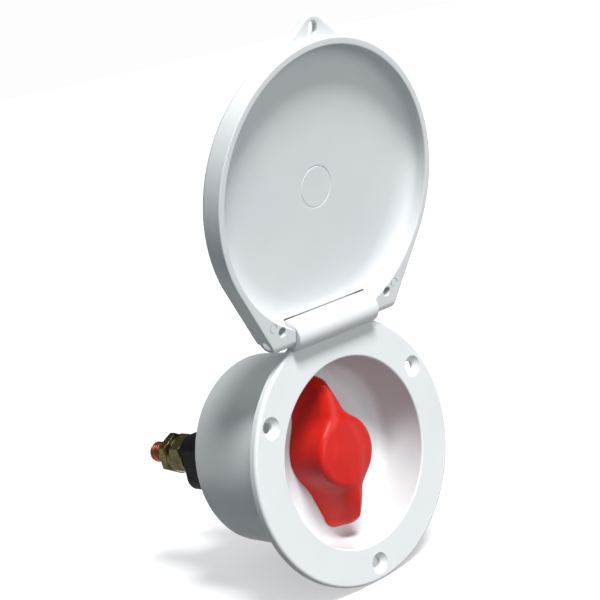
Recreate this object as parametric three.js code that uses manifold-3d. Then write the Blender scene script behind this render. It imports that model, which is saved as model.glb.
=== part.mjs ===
// Recessed marine battery switch with a hinged lid, in millimetres.
//
// Frame: +Z points up towards the lid's hinge, -Y points out of the panel to
// the user, +Y points into the panel. The origin is the centre of the
// flange's back face, the face that lies on the panel.
// The lid stands open at rest. The knob is at OFF and the contacts are apart.

import * as THREE from 'three';
import { mergeVertices } from 'three/addons/utils/BufferGeometryUtils.js';
import Module from 'manifold-3d';

const wasm = await Module();
wasm.setup();

// ---- Driving dimensions ----

const clearances = {
  cut: 0.3, // faces that rest on each other
  running: 0.1, // a shaft or pin that turns in its hole, per side
  loose: 0.4, // a cover in its recess, per side
  wipe: 0.3, // between the cam's ramp and the carrier's pads
};

const flange = { radius: 60, thickness: 4, edge: 1.4 };

const margins = {
  hingeRise: 0.4, // the hinge's axis above the flange's edge
  lidOverhang: 4.5, // the lid's rim past the flange's edge
  rimWall: 3.1, // the lid's rim round its pocket
  tabLength: 9.1, // the tab past the lid's rim
  eyeletSetback: 5.3, // the eyelet's middle from the tab's end
  knobTip: 4.1, // the wings' tips from the bowl's wall
  tipRadius: 7.2, // round the wings' tips
  hubToWing: 12.9, // the tips' middles past the hub's side
};

const fixing = {
  pitchRadius: 52.5,
  angles: [30, 150, 270],
  holeRadius: 2.25,
  headRadius: 4.5,
  headDepth: 2.6,
};

const bowl = { mouthRadius: 42.9, mouthEdge: 1, floorY: 21, floorThickness: 3, blend: 5, draft: 1 };

const drum = { frontRadius: 45.2, backRadius: 44, backY: 56, edge: 1.6, wall: 2 };

const hinge = {
  y: -4.8,
  z: flange.radius + margins.hingeRise,
  knuckleRadius: 6.5,
  crestRadius: 7.6,
  halfLength: 25,
  pinRadius: 2,
  pinReach: 12,
  sideGap: 0.35,
  lidGap: 0.8,
  openAngle: 167,
};

const lid = {
  radius: flange.radius + margins.lidOverhang,
  pocketRadius: flange.radius + margins.lidOverhang - margins.rimWall,
  pocketDepth: 9,
  wallDepth: 3.5,
  blendWidth: 11.6,
  thickness: 11.5,
  backEdge: 2.8,
  matingY: -0.9,
  earHalfWidth: 39.2,
  earRadius: 3.9,
  earPocket: { x: 33, below: 5.7, radius: 2, depth: 8 },
};

const tab = {
  reach: lid.radius + margins.tabLength,
  radius: 7.6,
  thickness: 3,
  setback: 6.7,
  flare: 24,
  flareLead: 6,
  shoulder: 45,
  holeWidth: 5.2,
  holeHeight: 6.4,
  holeZ: lid.radius + margins.tabLength - margins.eyeletSetback,
};

const seal = { innerRadius: 46.6, outerRadius: 49.4, depth: 1.3 };

const knob = {
  height: 19.5,
  hubRadius: bowl.mouthRadius - bowl.draft - margins.knobTip - margins.tipRadius - margins.hubToWing,
  hubDraft: 3.3,
  edge: 3,
  tipCentre: bowl.mouthRadius - bowl.draft - margins.knobTip - margins.tipRadius,
  tipRadius: margins.tipRadius,
  wingTaper: 0.29,
  wingDraft: 15,
  wingEdge: 5.6,
  crestFrom: 18.3,
  crestFall: 5.3,
  crestPower: 1.8,
  tilt: 3.4,
  socketDepth: 12,
  screwRadius: 2,
  screwLength: 9,
  screwY: 14,
};

const shaft = { radius: 5, square: 6.4, flatDepth: 1, grooveDepth: 1.5, sealY: 24.6, sealWire: 0.75 };

const clip = { thickness: 1, outerRadius: 8, gapDegrees: 70, grooveRadius: 4 };

const body = {
  radius: 30,
  wall: 2.5,
  frontWall: 3.5,
  backY: 46,
  squareHalf: 31,
  cornerRadius: 6,
  flangeThickness: 3.2,
  hubRadius: 8.7,
  ribGap: 6.6,
  ribThickness: 2,
};

const bodyScrew = {
  pitch: 25.8,
  shankRadius: 2,
  postRadius: 4,
  headRadius: 3.8,
  headHeight: 2.2,
  postBite: 12,
};

const cam = { radius: 14, plate: 4, rampInner: 8.4, lift: 4, turn: 90, padTurn: 22 };

const carrier = { radius: 19.5, plate: 3, keyHalfWidth: 3, stemRadius: 4, stemEndRadius: 5 };

const bridge = { length: 44, width: 12, thickness: 2.6, holeRadius: 4.3 };

const block = {
  flangeThickness: 4,
  halfWidth: 27,
  halfHeight: 13.5,
  drop: 2.4, // the boss's middle below the studs
  cornerRadius: 7,
  backY: 87,
  recessHalfWidth: 24.8,
  recessHalfHeight: 9.5,
  recessFloorY: 61.6,
  springPocketRadius: 5.6,
  springPocketEndY: 76,
};

const terminal = {
  spacing: 34,
  studRadius: 5,
  headRadius: 7.2,
  headThickness: 4,
  endY: 119,
  chamfer: 1.2,
  holeGap: 0.2,
};

const nuts = { acrossFlats: 18, fullHeight: 8, jamHeight: 5, chamfer: 1 };

const washers = { flatRadius: 10.2, flatThickness: 2, springRadius: 8.8, springThickness: 2.2 };

const cover = {
  thickness: 2.4,
  postRadius: 3.6,
  postZ: 38.2,
  screwRadius: 1.5,
  headRadius: 3,
  headHeight: 1.8,
};

// ---- Places worked out from the driving dimensions ----

const contactGap = cam.lift + clearances.cut;
const floorBackY = bowl.floorY + bowl.floorThickness;
const bodyFrontY = floorBackY + clearances.cut;
const bodyInnerY = bodyFrontY + body.frontWall;
const clipY = bodyInnerY + clearances.loose;
const camY = clipY + clip.thickness + clearances.loose;
const rampY = camY + cam.plate;
const rampTop = cam.lift * (cam.turn + cam.padTurn) / cam.turn;
const carrierY = rampY + rampTop + clearances.cut;
const carrierBackY = carrierY + carrier.plate;
const headFrontY = block.recessFloorY - clearances.cut - terminal.headThickness;
const bridgeBackY = headFrontY - contactGap;
const bridgeY = bridgeBackY - bridge.thickness;
const stemEndY = bridgeBackY + clearances.cut + 2.4;
const blockY = body.backY + clearances.cut;
const blockFlangeBackY = blockY + block.flangeThickness;
const coverY = drum.backY - cover.thickness;
const coverRadius = drum.backRadius - drum.wall - clearances.loose;
const knobY = bowl.floorY - clearances.loose - knob.height;
const knobBaseY = knobY + knob.height;
const studX = terminal.spacing / 2;

const colours = {
  shell: { color: 0xe9ecec, roughness: 0.42, metalness: 0 },
  knob: { color: 0xd22a2e, roughness: 0.3, metalness: 0 },
  block: { color: 0x26272b, roughness: 0.55, metalness: 0 },
  inner: { color: 0x8d8f92, roughness: 0.6, metalness: 0 },
  copper: { color: 0xb87350, roughness: 0.32, metalness: 1 },
  plated: { color: 0x9a8f52, roughness: 0.35, metalness: 1 },
  steel: { color: 0xb9bcc0, roughness: 0.3, metalness: 1 },
  rubber: { color: 0x1b1b1c, roughness: 0.85, metalness: 0 },
};

const fine = 48;
const medium = 24;
const coarse = 10;

// ---- Solids ----

function solid(geometry) {
  const bare = geometry.clone();
  for (const name of Object.keys(bare.attributes)) {
    if (name !== 'position') bare.deleteAttribute(name);
  }
  const merged = mergeVertices(bare, 1e-4);
  return new wasm.Manifold(new wasm.Mesh({
    numProp: 3,
    vertProperties: new Float32Array(merged.attributes.position.array),
    triVerts: new Uint32Array(merged.index.array),
  }));
}

function toGeometry(made) {
  const mesh = made.getMesh();
  const geometry = new THREE.BufferGeometry();
  geometry.setAttribute('position', new THREE.BufferAttribute(new Float32Array(mesh.vertProperties), 3));
  geometry.setIndex(new THREE.BufferAttribute(new Uint32Array(mesh.triVerts), 1));
  geometry.computeVertexNormals();
  return geometry;
}

function join(first, ...rest) {
  return rest.reduce((sum, next) => sum.add(next), first);
}

function cut(first, ...tools) {
  return tools.reduce((left, tool) => left.subtract(tool), first);
}

// A box between two corners.
function box(low, high) {
  const size = high.map((value, i) => value - low[i]);
  const geometry = new THREE.BoxGeometry(...size);
  geometry.translate(...low.map((value, i) => value + size[i] / 2));
  return solid(geometry);
}

// A round bar along Y, from one depth to another.
function barY(radius, fromY, toY, x = 0, z = 0, segments = medium) {
  const geometry = new THREE.CylinderGeometry(radius, radius, toY - fromY, segments);
  geometry.translate(x, (fromY + toY) / 2, z);
  return solid(geometry);
}

// A round bar along X.
function barX(radius, fromX, toX, y, z, segments = medium) {
  const geometry = new THREE.CylinderGeometry(radius, radius, toX - fromX, segments);
  geometry.rotateZ(-Math.PI / 2);
  geometry.translate((fromX + toX) / 2, y, z);
  return solid(geometry);
}

// A profile of [radius, y] points turned about the Y axis.
function turned(points, segments = fine) {
  const profile = points.map(([radius, y]) => new THREE.Vector2(Math.max(radius, 0), y));
  const made = solid(new THREE.LatheGeometry(profile, segments));
  return made.volume() < 0 ? turned(points.slice().reverse(), segments) : made;
}

// A closed ring section turned about the Y axis.
function ring(section, segments = fine) {
  return turned([...section, section[0]], segments);
}

// A flat outline in X and Z carried along Y.
function plate(shape, fromY, toY, bevel = 0, curveSegments = 6) {
  const geometry = new THREE.ExtrudeGeometry(shape, {
    depth: toY - fromY - 2 * bevel,
    bevelEnabled: bevel > 0,
    bevelThickness: bevel,
    bevelSize: bevel,
    bevelOffset: -bevel,
    bevelSegments: 3,
    curveSegments,
  });
  geometry.rotateX(Math.PI / 2);
  geometry.translate(0, toY - bevel, 0);
  return solid(geometry);
}

function arcPoints(centreR, centreY, radiusR, radiusY, fromDegrees, toDegrees, steps) {
  return Array.from({ length: steps + 1 }, (_, i) => {
    const angle = THREE.MathUtils.degToRad(fromDegrees + (toDegrees - fromDegrees) * i / steps);
    return [centreR + radiusR * Math.cos(angle), centreY + radiusY * Math.sin(angle)];
  });
}

function roundedRectangle(halfWidth, halfHeight, radius) {
  const shape = new THREE.Shape();
  const w = halfWidth - radius;
  const h = halfHeight - radius;
  shape.absarc(w, h, radius, 0, Math.PI / 2);
  shape.absarc(-w, h, radius, Math.PI / 2, Math.PI);
  shape.absarc(-w, -h, radius, Math.PI, Math.PI * 1.5);
  shape.absarc(w, -h, radius, Math.PI * 1.5, Math.PI * 2);
  return shape;
}

function polar(radius, degrees) {
  const angle = THREE.MathUtils.degToRad(degrees);
  return [radius * Math.cos(angle), radius * Math.sin(angle)];
}

// A sector of a ring about the Y axis; angles run from +X towards +Z.
function ringSector(inner, outer, fromDegrees, toDegrees, fromY, toY) {
  const from = THREE.MathUtils.degToRad(fromDegrees);
  const to = THREE.MathUtils.degToRad(toDegrees);
  const shape = new THREE.Shape();
  shape.absarc(0, 0, outer, from, to, false);
  shape.absarc(0, 0, inner, to, from, true);
  return plate(shape, fromY, toY, 0, 10);
}

// A coil of round wire along Y.
class Coil extends THREE.Curve {
  constructor(radius, fromY, toY, turns) {
    super();
    Object.assign(this, { radius, fromY, toY, turns });
  }

  getPoint(t, target = new THREE.Vector3()) {
    const angle = t * this.turns * Math.PI * 2;
    const y = this.fromY + (this.toY - this.fromY) * t;
    return target.set(this.radius * Math.cos(angle), y, this.radius * Math.sin(angle));
  }
}

function coilSpring(radius, wireRadius, fromY, toY, turns) {
  const section = new THREE.Shape();
  section.absarc(0, 0, wireRadius, 0, Math.PI * 2);
  const geometry = new THREE.ExtrudeGeometry(section, {
    steps: turns * 9,
    curveSegments: 2,
    bevelEnabled: false,
    extrudePath: new Coil(radius, fromY + wireRadius, toY - wireRadius, turns),
  });
  return solid(geometry);
}

// ---- Enclosure ----

function cupProfile() {
  const mouthR = bowl.mouthRadius;
  const blendR = mouthR - bowl.draft - bowl.blend;
  const edge = bowl.mouthEdge;
  const frontY = -flange.thickness;
  const innerR = drum.backRadius - drum.wall;
  const holeR = body.hubRadius + clearances.cut;
  return [
    [holeR, bowl.floorY],
    ...arcPoints(blendR, bowl.floorY - bowl.blend, bowl.blend, bowl.blend, 90, 0, 4),
    ...arcPoints(mouthR + edge, frontY + edge, edge, edge, 180, 270, 2),
    ...arcPoints(flange.radius - flange.edge, frontY + flange.edge, flange.edge, flange.edge, 270, 360, 3),
    [flange.radius, 0],
    [seal.outerRadius, 0],
    [seal.outerRadius, -seal.depth],
    [seal.innerRadius, -seal.depth],
    [seal.innerRadius, 0],
    [drum.frontRadius, 0],
    ...arcPoints(drum.backRadius - drum.edge, drum.backY - drum.edge, drum.edge, drum.edge, 0, 90, 2),
    [innerR, drum.backY],
    [innerR, floorBackY],
    [holeR, floorBackY],
  ];
}

function countersunkHole(degrees) {
  const [x, z] = polar(fixing.pitchRadius, degrees);
  const frontY = -flange.thickness;
  const tool = turned([
    [0, frontY - 1],
    [fixing.headRadius, frontY - 1],
    [fixing.headRadius, frontY + 0.2],
    [fixing.holeRadius, frontY + fixing.headDepth],
    [fixing.holeRadius, 1],
    [0, 1],
  ], medium);
  return tool.translate([x, 0, z]);
}

// The knuckle's outline: a barrel with a crest that stops at the panel face.
function knuckle() {
  const shape = new THREE.Shape();
  const back = -hinge.y;
  const crestEnd = Math.acos(back / hinge.crestRadius);
  const barrelEnd = Math.asin(back / hinge.knuckleRadius) - Math.PI / 2;
  const rad = THREE.MathUtils.degToRad;
  shape.absarc(0, 0, hinge.crestRadius, crestEnd, rad(118), false);
  shape.absarc(0, 0, hinge.knuckleRadius, rad(150), barrelEnd + Math.PI * 2, false);
  const geometry = new THREE.ExtrudeGeometry(shape, {
    depth: hinge.halfLength * 2,
    bevelEnabled: false,
    curveSegments: 12,
  });
  // The outline's x is the depth Y and its y is the height Z.
  geometry.rotateY(Math.PI / 2);
  geometry.rotateX(Math.PI / 2);
  geometry.translate(-hinge.halfLength, hinge.y, hinge.z);
  let made = solid(geometry);
  for (const side of [-1, 1]) {
    const near = side * (hinge.halfLength + 1);
    const far = side * (hinge.halfLength - hinge.pinReach);
    const bore = barX(hinge.pinRadius + clearances.running, Math.min(near, far), Math.max(near, far),
      hinge.y, hinge.z);
    made = made.subtract(bore);
  }
  return made;
}

function bodyScrewPlaces() {
  return [[1, 1], [-1, 1], [-1, -1], [1, -1]].map(([a, b]) => [a * bodyScrew.pitch, b * bodyScrew.pitch]);
}

function housing() {
  let made = join(ring(cupProfile()), knuckle());
  for (const degrees of fixing.angles) made = made.subtract(countersunkHole(degrees));
  const postTopY = body.backY - body.flangeThickness - clearances.cut;
  for (const [x, z] of bodyScrewPlaces()) {
    made = made.add(barY(bodyScrew.postRadius, floorBackY - 0.5, postTopY, x, z, coarse));
    made = made.subtract(barY(bodyScrew.shankRadius + clearances.running, postTopY - bodyScrew.postBite,
      postTopY + 1, x, z, coarse));
  }
  const coverPostTopY = coverY - clearances.cut;
  for (const side of [-1, 1]) {
    const z = side * cover.postZ;
    made = made.add(barY(cover.postRadius, floorBackY - 0.5, coverPostTopY, 0, z, coarse));
    made = made.subtract(barY(cover.screwRadius + clearances.running, coverPostTopY - 10,
      coverPostTopY + 1, 0, z, coarse));
  }
  return made;
}

function panelSeal() {
  const gap = 0.1;
  const inner = seal.innerRadius + gap;
  const outer = seal.outerRadius - gap;
  return ring([[inner, -seal.depth + gap], [outer, -seal.depth + gap], [outer, 0], [inner, 0]]);
}

function rearCover() {
  const hole = roundedRectangle(block.halfWidth + clearances.loose, block.halfHeight + clearances.loose,
    block.cornerRadius);
  const opening = plate(hole, coverY - 1, drum.backY + 1).translate([0, 0, -block.drop]);
  let made = cut(barY(coverRadius, coverY, drum.backY, 0, 0, fine), opening);
  for (const side of [-1, 1]) {
    made = made.subtract(barY(cover.screwRadius + clearances.cut, coverY - 1, drum.backY + 1, 0,
      side * cover.postZ, coarse));
  }
  return made;
}

// A pan-head screw along -Y, its head's seat at seatY and its point at endY.
function panScrew(radius, headRadius, headHeight, seatY, endY) {
  const made = join(
    turned([[0, seatY], [headRadius, seatY], [headRadius, seatY + headHeight * 0.55],
      [headRadius * 0.72, seatY + headHeight], [0, seatY + headHeight]], coarse),
    turned([[0, endY], [radius * 0.6, endY], [radius, endY + 1],
      [radius, seatY + 0.2], [0, seatY + 0.2]], coarse),
  );
  const slotHalf = headRadius * 0.14;
  const slotLong = headRadius * 0.62;
  const top = seatY + headHeight;
  return cut(made,
    box([-slotHalf, top - headHeight * 0.45, -slotLong], [slotHalf, top + 1, slotLong]),
    box([-slotLong, top - headHeight * 0.45, -slotHalf], [slotLong, top + 1, slotHalf]));
}

function coverScrew() {
  return panScrew(cover.screwRadius, cover.headRadius, cover.headHeight, drum.backY + clearances.cut,
    coverY - clearances.cut - 8);
}

function bodyScrewSolid() {
  return panScrew(bodyScrew.shankRadius, bodyScrew.headRadius, bodyScrew.headHeight,
    blockFlangeBackY + clearances.cut, body.backY - body.flangeThickness - bodyScrew.postBite + 1);
}

// ---- Lid, drawn closed on the flange's axis, then moved to the hinge ----

// The point where a line from [x, z] touches a circle about the origin.
function tangentAngle(radius, x, z) {
  return Math.atan2(z, x) - Math.acos(radius / Math.hypot(x, z));
}

function lidOutline() {
  const shape = new THREE.Shape();
  const { radius, earHalfWidth } = lid;
  const ear = tangentAngle(radius, earHalfWidth, hinge.z);
  const tabCentreZ = -(tab.reach - tab.radius);
  const flareAngle = Math.asin(tab.flare / radius);
  const flareZ = -radius * Math.cos(flareAngle);
  const shoulder = THREE.MathUtils.degToRad(tab.shoulder);
  const endX = tab.radius * Math.cos(shoulder);
  const endZ = tabCentreZ - tab.radius * Math.sin(shoulder);
  // The flare leaves the rim along the rim and meets the round end along it.
  const lead = tab.flareLead;
  const rimHandle = [tab.flare - lead * Math.cos(flareAngle), flareZ - lead * Math.sin(flareAngle)];
  const endHandle = [endX + lead * Math.sin(shoulder), endZ + lead * Math.cos(shoulder)];
  shape.moveTo(earHalfWidth, hinge.z);
  shape.lineTo(-earHalfWidth, hinge.z);
  shape.absarc(0, 0, radius, Math.PI - ear, Math.PI * 1.5 - flareAngle, false);
  shape.bezierCurveTo(-rimHandle[0], rimHandle[1], -endHandle[0], endHandle[1], -endX, endZ);
  shape.absarc(0, tabCentreZ, tab.radius, Math.PI + shoulder, Math.PI * 2 - shoulder, false);
  shape.bezierCurveTo(endHandle[0], endHandle[1], rimHandle[0], rimHandle[1], tab.flare, flareZ);
  shape.absarc(0, 0, radius, -Math.PI / 2 + flareAngle, ear, false);
  shape.closePath();
  return shape;
}

function lidPocket() {
  const depth = lid.matingY - lid.pocketDepth;
  const wallY = lid.matingY - lid.wallDepth;
  const wallR = lid.pocketRadius - 0.3;
  return turned([
    [0, 1],
    [lid.pocketRadius, 1],
    [lid.pocketRadius, lid.matingY],
    ...arcPoints(wallR - lid.blendWidth, wallY, lid.blendWidth, wallY - depth, 0, -90, 5),
    [0, depth],
  ].reverse());
}

function tabCutter() {
  const front = lid.matingY - tab.setback;
  const around = box([-30, front, -90], [30, 10, -hinge.z * 0.9]);
  return around.subtract(barY(lid.radius, front - 5, 12, 0, 0, fine));
}

function tabBackCutter() {
  const back = lid.matingY - tab.setback - tab.thickness;
  const around = box([-30, lid.matingY - lid.thickness - 5, -90], [30, back, -hinge.z * 0.9]);
  return around.subtract(barY(lid.radius + 1, back - 20, 12, 0, 0, fine));
}

function tabHole() {
  const r = tab.holeWidth / 2;
  const half = tab.holeHeight / 2 - r;
  const shape = new THREE.Shape();
  shape.absarc(0, -tab.holeZ + half, r, 0, Math.PI, false);
  shape.absarc(0, -tab.holeZ - half, r, Math.PI, Math.PI * 2, false);
  return plate(shape, -30, 10, 0, 8);
}

function lidSolid() {
  const backY = lid.matingY - lid.thickness;
  let made = plate(lidOutline(), backY, lid.matingY + 8, lid.backEdge, 16);
  made = made.subtract(box([-90, lid.matingY, -90], [90, 20, 90]));
  const innerX = hinge.halfLength + hinge.sideGap;
  for (const side of [-1, 1]) {
    const a = side * innerX;
    const b = side * (lid.earHalfWidth - 1.2);
    made = made.add(barX(lid.earRadius, Math.min(a, b), Math.max(a, b), hinge.y, hinge.z));
  }
  made = cut(made, lidPocket(), tabCutter(), tabBackCutter(), tabHole());
  made = made.subtract(barX(hinge.crestRadius + hinge.lidGap, -innerX, innerX, hinge.y, hinge.z, 48));
  for (const side of [-1, 1]) {
    const a = side * (innerX - 1);
    const b = side * (lid.earHalfWidth + 4);
    made = made.subtract(barX(hinge.pinRadius + clearances.running, Math.min(a, b), Math.max(a, b), hinge.y,
      hinge.z));
    const { x, below, radius, depth } = lid.earPocket;
    made = made.subtract(barY(radius, lid.matingY - depth, 5, side * x, hinge.z - below, coarse));
  }
  return made.translate([0, -hinge.y, -hinge.z]);
}

// A pin is trimmed flush with the slanting end of the ear it is pressed into.
function hingePin(side) {
  const inner = hinge.halfLength - hinge.pinReach + 0.5;
  const outer = lid.earHalfWidth + 3;
  const ends = [side * inner, side * outer];
  const bar = barX(hinge.pinRadius, Math.min(...ends), Math.max(...ends), hinge.y, hinge.z);
  const made = bar.intersect(plate(lidOutline(), lid.matingY - lid.thickness, lid.matingY, 0, 16));
  return made.translate([-side * 0.1, -hinge.y, -hinge.z]);
}

// ---- Knob and its shaft ----

function knobHub() {
  const shoulder = knob.height - knob.edge;
  const topRadius = knob.hubRadius - shoulder * Math.tan(THREE.MathUtils.degToRad(knob.hubDraft));
  return turned([
    [0, knobBaseY],
    [knob.hubRadius, knobBaseY],
    ...arcPoints(topRadius - knob.edge, knobY + knob.edge, knob.edge, knob.edge, 0, -90, 3),
    [0, knobY],
  ]);
}

// The height of the wings' crest above the base, at a distance from the hub's middle.
function crestHeight(reach) {
  const far = knob.tipCentre + knob.tipRadius;
  const along = Math.max(reach - knob.crestFrom, 0) / (far - knob.crestFrom);
  return knob.height - knob.crestFall * along ** knob.crestPower;
}

// Half a wing's section as [distance, height]: up the drafted side, then over the round edge.
function wingSide(half, height) {
  const foot = height - knob.wingEdge;
  const shoulder = half - foot * Math.tan(THREE.MathUtils.degToRad(knob.wingDraft));
  const edge = Math.min(knob.wingEdge, shoulder);
  return [[half, 0], ...arcPoints(shoulder - edge, foot, edge, knob.wingEdge, 0, 90, 3)];
}

// Both wings are the hull of sections set across them and round their tips.
function knobWings() {
  const points = [];
  const addSection = (z, half, heading, reach) => {
    for (const [distance, up] of wingSide(half, crestHeight(reach))) {
      points.push([distance * Math.cos(heading), knobBaseY - up, z + distance * Math.sin(heading)]);
    }
  };
  for (const side of [-1, 1]) {
    for (const share of [0, 0.3, 0.6, 0.8, 1]) {
      const z = knob.tipCentre * share;
      const half = knob.tipRadius + knob.wingTaper * (knob.tipCentre - z);
      addSection(side * z, half, 0, z);
      addSection(side * z, half, Math.PI, z);
    }
    for (let step = 1; step < 10; step += 1) {
      const heading = Math.PI * step / 10;
      const reach = knob.tipCentre + knob.tipRadius * 0.6 * Math.sin(heading);
      addSection(side * knob.tipCentre, knob.tipRadius, side * heading, reach);
    }
  }
  return wasm.Manifold.hull(points);
}

function shaftSection(gap) {
  const radius = shaft.radius + gap;
  const flat = shaft.radius - shaft.flatDepth + gap;
  const angle = Math.acos(flat / radius);
  const shape = new THREE.Shape();
  shape.absarc(0, 0, radius, angle, Math.PI * 2 - angle, false);
  shape.closePath();
  return shape;
}

function knobSolid() {
  let made = knobHub().add(knobWings()).rotate([0, -knob.tilt, 0]);
  made = made.subtract(plate(shaftSection(clearances.running), knobBaseY - knob.socketDepth, knobBaseY + 1));
  return made.subtract(barX(knob.screwRadius + clearances.running, 2, 30, knob.screwY, 0, coarse));
}

function knobSetScrew() {
  const start = shaft.radius - shaft.flatDepth + clearances.cut;
  const made = barX(knob.screwRadius, start, start + knob.screwLength, knob.screwY, 0, coarse);
  const socket = new THREE.CylinderGeometry(1.1, 1.1, 3, 6);
  socket.rotateZ(-Math.PI / 2);
  socket.translate(start + knob.screwLength - 0.4, knob.screwY, 0);
  return made.subtract(solid(socket));
}

function groove(radius, fromY, toY) {
  return barY(shaft.radius + 2, fromY, toY, 0, 0, medium).subtract(barY(radius, fromY - 1, toY + 1));
}

function shaftSolid() {
  const frontY = knobBaseY - knob.socketDepth + clearances.cut;
  const flatEndY = knobBaseY;
  const squareY = clipY + clip.thickness + clearances.running;
  const endY = rampY - clearances.running;
  const half = shaft.square / 2;
  const front = plate(shaftSection(0), frontY, flatEndY + 0.01);
  const middle = barY(shaft.radius, flatEndY, squareY);
  const drive = box([-half, squareY - 0.01, -half], [half, endY, half]);
  const sealHalf = shaft.sealWire + 0.2;
  return cut(join(front, middle, drive),
    groove(shaft.radius - shaft.grooveDepth, shaft.sealY - sealHalf, shaft.sealY + sealHalf),
    groove(clip.grooveRadius - clearances.running, clipY - clearances.running,
      clipY + clip.thickness + clearances.running + 0.01));
}

function shaftSeal() {
  const middle = shaft.radius - shaft.grooveDepth + shaft.sealWire + 0.05;
  return ring(arcPoints(middle, shaft.sealY, shaft.sealWire, shaft.sealWire, 0, 300, 5), medium);
}

function retainingClip() {
  const half = clip.gapDegrees / 2;
  return ringSector(clip.grooveRadius + clearances.running, clip.outerRadius, -90 + half, 270 - half, clipY,
    clipY + clip.thickness);
}

// ---- Contact mechanism ----

// The ramp's rise at an angle about +Y, in two equal lobes.
function rise(degrees) {
  const lobe = ((degrees % 180) + 180) % 180;
  const end = cam.turn + cam.padTurn;
  if (lobe <= end) return cam.lift * lobe / cam.turn;
  const fallTurn = 24;
  return Math.max(0, rampTop * (1 - (lobe - end) / fallTurn));
}

// Turning on about +Y carries +Z towards +X, so the ramp climbs the other way,
// from +Z towards -X, and its higher parts come under the pads.
function turnOf(x, z) {
  return THREE.MathUtils.radToDeg(Math.atan2(-x, z));
}

// Lifts a ring's far face to follow the ramp.
function rampedRing(inner, outer, baseY, faceY) {
  const profile = [[inner, baseY], [outer, baseY], [outer, faceY], [inner, faceY], [inner, baseY]];
  const geometry = new THREE.LatheGeometry(profile.map(([r, y]) => new THREE.Vector2(r, y)), 60);
  const position = geometry.attributes.position;
  for (let i = 0; i < position.count; i += 1) {
    if (position.getY(i) > faceY - 0.01) {
      position.setY(i, faceY + rise(turnOf(position.getX(i), position.getZ(i))));
    }
  }
  return solid(geometry);
}

function camRotor() {
  const plateSolid = barY(cam.radius, camY, rampY, 0, 0, medium);
  const ramp = rampedRing(cam.rampInner, cam.radius - 0.4, rampY - 1, rampY);
  const half = shaft.square / 2 + clearances.running;
  return join(plateSolid, ramp).subtract(box([-half, camY - 1, -half], [half, rampY + 6, half]));
}

// Two pads that stand on the ramps' low ends at OFF.
function carrierPads() {
  const filler = ring([
    [cam.rampInner + 0.4, rampY - 3], [cam.radius - 0.8, rampY - 3],
    [cam.radius - 0.8, carrierY + 0.5], [cam.rampInner + 0.4, carrierY + 0.5],
  ]);
  const under = rampedRing(cam.rampInner - 1, cam.radius + 1, rampY - 6, rampY + clearances.wipe);
  const standing = filler.subtract(under);
  const pads = [0, 180].map((start) => {
    // Angle from +Z towards -X, turned into the ring sector's angle from +X.
    const from = 90 + start + 3;
    const to = 90 + start + cam.padTurn - 2;
    return ringSector(cam.rampInner, cam.radius, from, to, rampY - 4, carrierY + 0.5).intersect(standing);
  });
  return join(...pads);
}

function contactCarrier() {
  const disc = barY(carrier.radius, carrierY, carrierBackY, 0, 0, medium);
  const keyReach = body.radius - body.wall - 0.5;
  const keyHalf = carrier.keyHalfWidth;
  const keys = box([-keyReach, carrierY, -keyHalf], [keyReach, carrierBackY, keyHalf]);
  const stem = barY(carrier.stemRadius, carrierBackY - 0.5, stemEndY, 0, 0, coarse);
  const lip = barY(carrier.stemEndRadius, bridgeBackY + clearances.cut, stemEndY, 0, 0, coarse);
  return join(disc, keys, stem, lip, carrierPads());
}

function contactBridge() {
  const halfLength = bridge.length / 2;
  const halfWidth = bridge.width / 2;
  const bar = box([-halfLength, bridgeY, -halfWidth], [halfLength, bridgeBackY, halfWidth]);
  return bar.subtract(barY(bridge.holeRadius, bridgeY - 1, bridgeBackY + 1, 0, 0, coarse));
}

function contactSpring() {
  return coilSpring(5.6, 0.6, carrierBackY + 0.1, bridgeY - 0.1, 4);
}

function returnSpring() {
  return coilSpring(4, 0.5, stemEndY + 0.1, block.springPocketEndY - 0.1, 6);
}

function switchBody() {
  const outerR = body.radius;
  const innerR = body.radius - body.wall;
  const boreR = shaft.radius + clearances.running;
  const hubFrontY = bowl.floorY + 0.4;
  let made = ring([
    [boreR, hubFrontY],
    [body.hubRadius, hubFrontY],
    [body.hubRadius, bodyFrontY],
    [outerR, bodyFrontY],
    [outerR, body.backY],
    [innerR, body.backY],
    [innerR, bodyInnerY],
    [boreR, bodyInnerY],
  ]);
  const frame = roundedRectangle(body.squareHalf, body.squareHalf, body.cornerRadius);
  frame.holes.push(new THREE.Path().absarc(0, 0, innerR + 0.5, 0, Math.PI * 2, true));
  made = made.add(plate(frame, body.backY - body.flangeThickness, body.backY));
  for (const side of [-1, 1]) {
    for (const edge of [-1, 1]) {
      const nearX = side * (carrier.radius + 1);
      const farX = side * (innerR + 0.5);
      const nearZ = edge * body.ribGap / 2;
      const farZ = edge * (body.ribGap / 2 + body.ribThickness);
      made = made.add(box(
        [Math.min(nearX, farX), bodyInnerY - 0.5, Math.min(nearZ, farZ)],
        [Math.max(nearX, farX), body.backY, Math.max(nearZ, farZ)]));
    }
  }
  for (const [x, z] of bodyScrewPlaces()) {
    made = made.subtract(barY(bodyScrew.shankRadius + clearances.cut, body.backY - 6, body.backY + 1,
      x, z, coarse));
  }
  for (const [x, z] of bodyScrewPlaces()) {
    made = made.subtract(barY(bodyScrew.postRadius + clearances.cut, bodyFrontY - 1,
      body.backY - body.flangeThickness, x, z, coarse));
  }
  return made;
}

// ---- Terminals ----

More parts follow.
